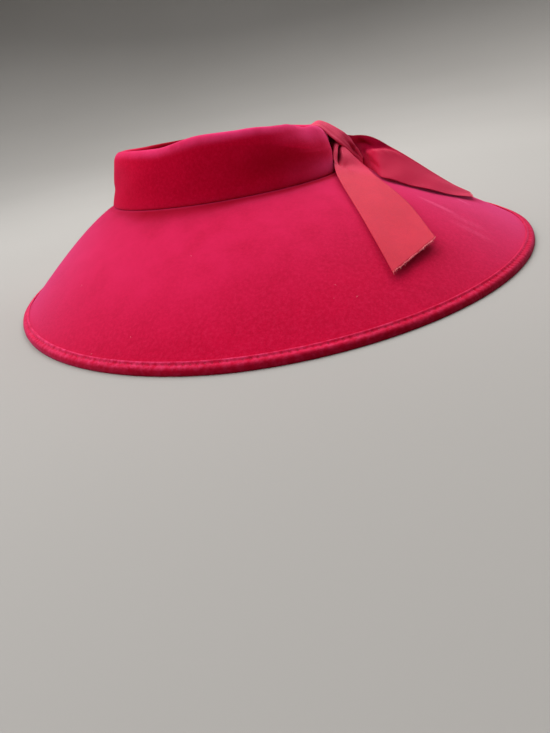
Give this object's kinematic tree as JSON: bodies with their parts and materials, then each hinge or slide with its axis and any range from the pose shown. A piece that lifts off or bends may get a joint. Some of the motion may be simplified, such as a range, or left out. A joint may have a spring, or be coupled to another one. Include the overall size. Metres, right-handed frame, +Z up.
{
  "type": "wide-brim hat",
  "caption": "Wide-brim felt hat with a low sunken crown, a stitched velvet edge and a ribbon bow held over the front of the crown by a strap.",
  "frame": {"origin": "under the middle of the whole hat, on the surface that its brim edge rests on", "axes": "+X to the wearer's left, -Y to the front where the bow is, +Z up out of the crown"},
  "size_m": [0.4532, 0.4378, 0.1136],
  "materials": {
    "felt": "velour felt, short soft nap with a pink sheen",
    "binding_velvet": "crushed velvet, hand stitched",
    "grosgrain": "ribbed grosgrain, satin, cut ends slightly frayed"
  },
  "bodies": {
    "root": {"brim": "felt", "brim_binding": "binding_velvet", "crown": "felt", "ribbon_bow": "grosgrain", "ribbon_strap": "grosgrain"}
  },
  "joints": []
}
